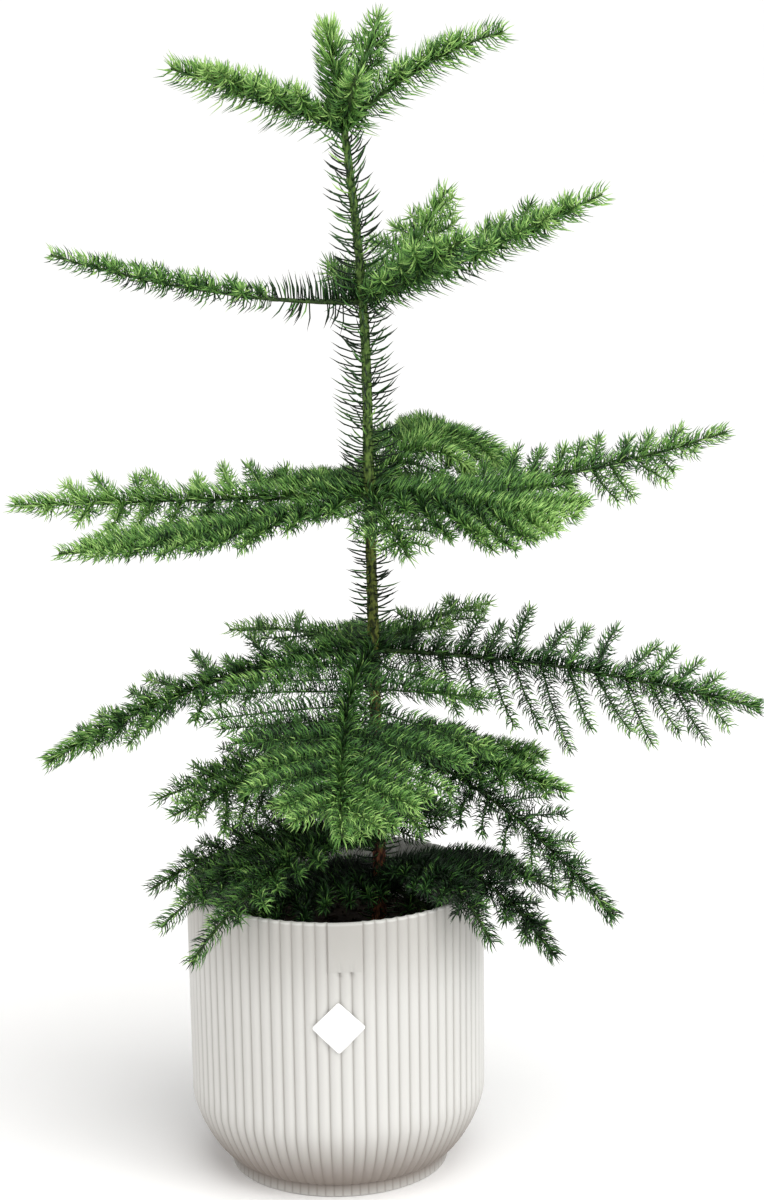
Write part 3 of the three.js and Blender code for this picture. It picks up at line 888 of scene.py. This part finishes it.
def sideShoot(bough, distance, side, start):
    shape = shootShape
    t = (distance - start) / (bough["length"] - start)
    forward = bough["opens"] + (bough["forward"] - bough["opens"]) * t ** bough["late"]
    forward += rng.normal(0, shape["angleSpread"] * bough["ragged"])
    full = spread(bough, min(1, t + shape["early"]))
    reach = shape["tipWidth"] + (bough["width"] - shape["tipWidth"]) * full
    middle = math.radians(min(shape["steepest"], forward - 0.5 * bough["sweep"]))
    long = (reach - shape["needleRoom"]) / math.sin(middle)
    long *= rng.normal(1, shape["lengthSpread"] * bough["ragged"])
    room = (bough["length"] - distance) / math.cos(middle)
    long = min(long, shape["room"] * room)
    if long < shape["shortest"]:
        return None
    steps = max(3, int(long / shape["stepLength"]))
    ahead = unit(boughPoint(bough, distance + 2) - boughPoint(bough, distance))
    lift = bough["vee"] + side * bough["roll"] + rng.normal(0, shape["liftSpread"])
    line = [boughPoint(bough, distance)]
    for k in range(steps):
        part = (k + 0.5) / steps
        angle = math.radians(forward - bough["sweep"] * part)
        rise = math.radians(lift + bough["curl"] * (part - shape["curlFrom"]))
        sideways = bough["across"] * side * math.cos(rise) + np.array([0, 0, math.sin(rise)])
        line.append(line[-1] + (ahead * math.cos(angle) + sideways * math.sin(angle)) * long / steps)
    return np.array(line), t


def habitOf(bough):
    return {key: bough[key] for key in usualHabit}


def growLimb(bough, tip, limbs, spray):  # the bough itself, with its own needles
    shape, bare = limbShape, bareNeedles
    foot = trunkRadius(bough["z"]) * 0.5
    distances = np.linspace(foot, tip, int(tip / shape["stepLength"]))
    line = np.array([boughPoint(bough, d) for d in distances])
    phase = rng.random(2)[0] * 2 * math.pi  # of two numbers drawn, the first sets where the sway starts
    sway = np.sin(distances / shape["wave"] + phase) * np.clip(distances / shape["steadyUntil"], 0, 1)
    line += bough["across"] * (shape["wander"] * sway)[:, None]
    limbs.tube(line, [limbRadius(d) for d in distances], shape["sides"], shape["roughness"])
    size = needleShape["axis"] * bough["needles"]
    perMm = needleShape["axisPerMm"] * bough["density"] * bough["brush"]
    old = int(np.argmax(distances > bough["bare"] - bare["overlap"])) if bough["bare"] > bare["over"] else 0
    spray.grow(line[old:], shape["needleRoot"], perMm, size, bough["fresh"] - needleShape["axisDarker"],
               bough["gain"], **habitOf(bough))
    if old:  # a stretch with single stiff needles
        spray.grow(line[:old + 1], bare["radius"], bare["perMm"], bare["longer"] * size,
                   bough["fresh"] - bare["darker"], bare["tipTone"], **bare["habit"])


def growSide(bough, side, start, tip, spray):  # a row of side shoots, side 1 on the left, -1 on the right
    shape, rule = shootShape, needleShape
    size = rule["side"] * bough["needles"]
    distance = start + bough["every"] * (shape["firstLeft"] if side > 0 else shape["firstRight"])
    while distance < tip:
        made = sideShoot(bough, distance, side, start)
        if made:
            shoot, t = made
            spray.tube(shoot, np.linspace(shape["radius"], shape["tipRadius"], len(shoot)), shape["sides"])
            tone = bough["fresh"] - rule["sideDarker"] + bough["gain"] * t ** 3
            tone += rng.normal(0, rule["sideSpread"])
            perMm = rule["sidePerMm"] * (bough["density"] * (1 + bough["tuft"] * t ** 2))
            spray.grow(shoot, shape["needleRoot"], perMm, size, tone, rule["sideTipTone"], **habitOf(bough))
        crowded = 1 - bough["crowd"] * (distance / bough["length"]) ** 2
        uneven = 1 + bough["ragged"] * rng.uniform(-shape["spacing"], shape["spacing"])
        distance += bough["every"] * crowded * uneven


def growBough(bough, limbs, spray):
    start = bough["bare"] or trunkRadius(bough["z"])
    tip = bough["length"] - limbShape["tipGap"]
    growLimb(bough, tip, limbs, spray)
    for side in (1, -1):
        growSide(bough, side, start, tip, spray)


def growPlant():
    limbPaint, twigPaint = stemPaint("bough_bark"), stemPaint("green_twig")
    for whorl in whorls:
        limbs, spray = Spray(), Spray()
        boughs = list(readBoughs(whorl))
        for bough in boughs:
            growBough(bough, limbs, spray)
        name = whorl["name"]
        bareNodes = [f"{b['label']}_bough" for b in boughs if b["bare"]]
        piece = meshFromLists(f"{name}_boughs", np.concatenate(limbs.stemPoints), limbs.stemFaces)
        finishPiece(piece, f"{name}_boughs", "bark", bareNodes, limbPaint)
        piece = meshFromLists(f"{name}_twigs", np.concatenate(spray.stemPoints), spray.stemFaces)
        finishPiece(piece, f"{name}_twigs", "bark", [], twigPaint)
        makeNeedles(f"{name}_needles", spray, [f"{b['label']}_foliage" for b in boughs])
        print("grown", name)


# the trunk's needles lengthen and bend more with height, and a leader brush ends it
trunkNeedles = dict(step=6, radius=3.0, perMm=1.6, tone=0.15, tipTone=0.2,
                    stretches=[dict(low=152, high=326, size=12, lean=88, hook=14),
                               dict(low=320, high=419, size=14, lean=84, hook=18),
                               dict(low=413, high=640, size=20, lean=80, hook=26)])
leader = dict(low=630, high=690, points=16, radius=1.6, perMm=9.0, size=15, tone=0.38, tipTone=0.45,
              lean=64, hook=24)


def growTrunkNeedles():
    spray = Spray(bends=3)
    rule = trunkNeedles
    for part in rule["stretches"]:
        line = np.array([trunkPoint(h) for h in np.arange(part["low"], part["high"], rule["step"])])
        spray.grow(line, rule["radius"], rule["perMm"], part["size"], rule["tone"], rule["tipTone"],
                   lean=part["lean"], hook=part["hook"], thickness=needleShape["stout"])
    line = np.array([trunkPoint(h) for h in np.linspace(leader["low"], leader["high"], leader["points"])])
    spray.grow(line, leader["radius"], leader["perMm"], leader["size"], leader["tone"], leader["tipTone"],
               lean=leader["lean"], hook=leader["hook"])
    makeNeedles("trunk_needles", spray, ["leader_foliage"])


bpy.context.scene.view_settings.view_transform = "Standard"
addCamera()
addLamps()
addWorld()
addFloor()
print("stage set")
makePot()
makeCompost()
makeCrumbs()
makeTag()
makeTrunk()
print("pot, compost, tag and trunk made")
needlePaints = [needlePaint(name, colour) for name, colour in tints.items()]
growPlant()
growTrunkNeedles()
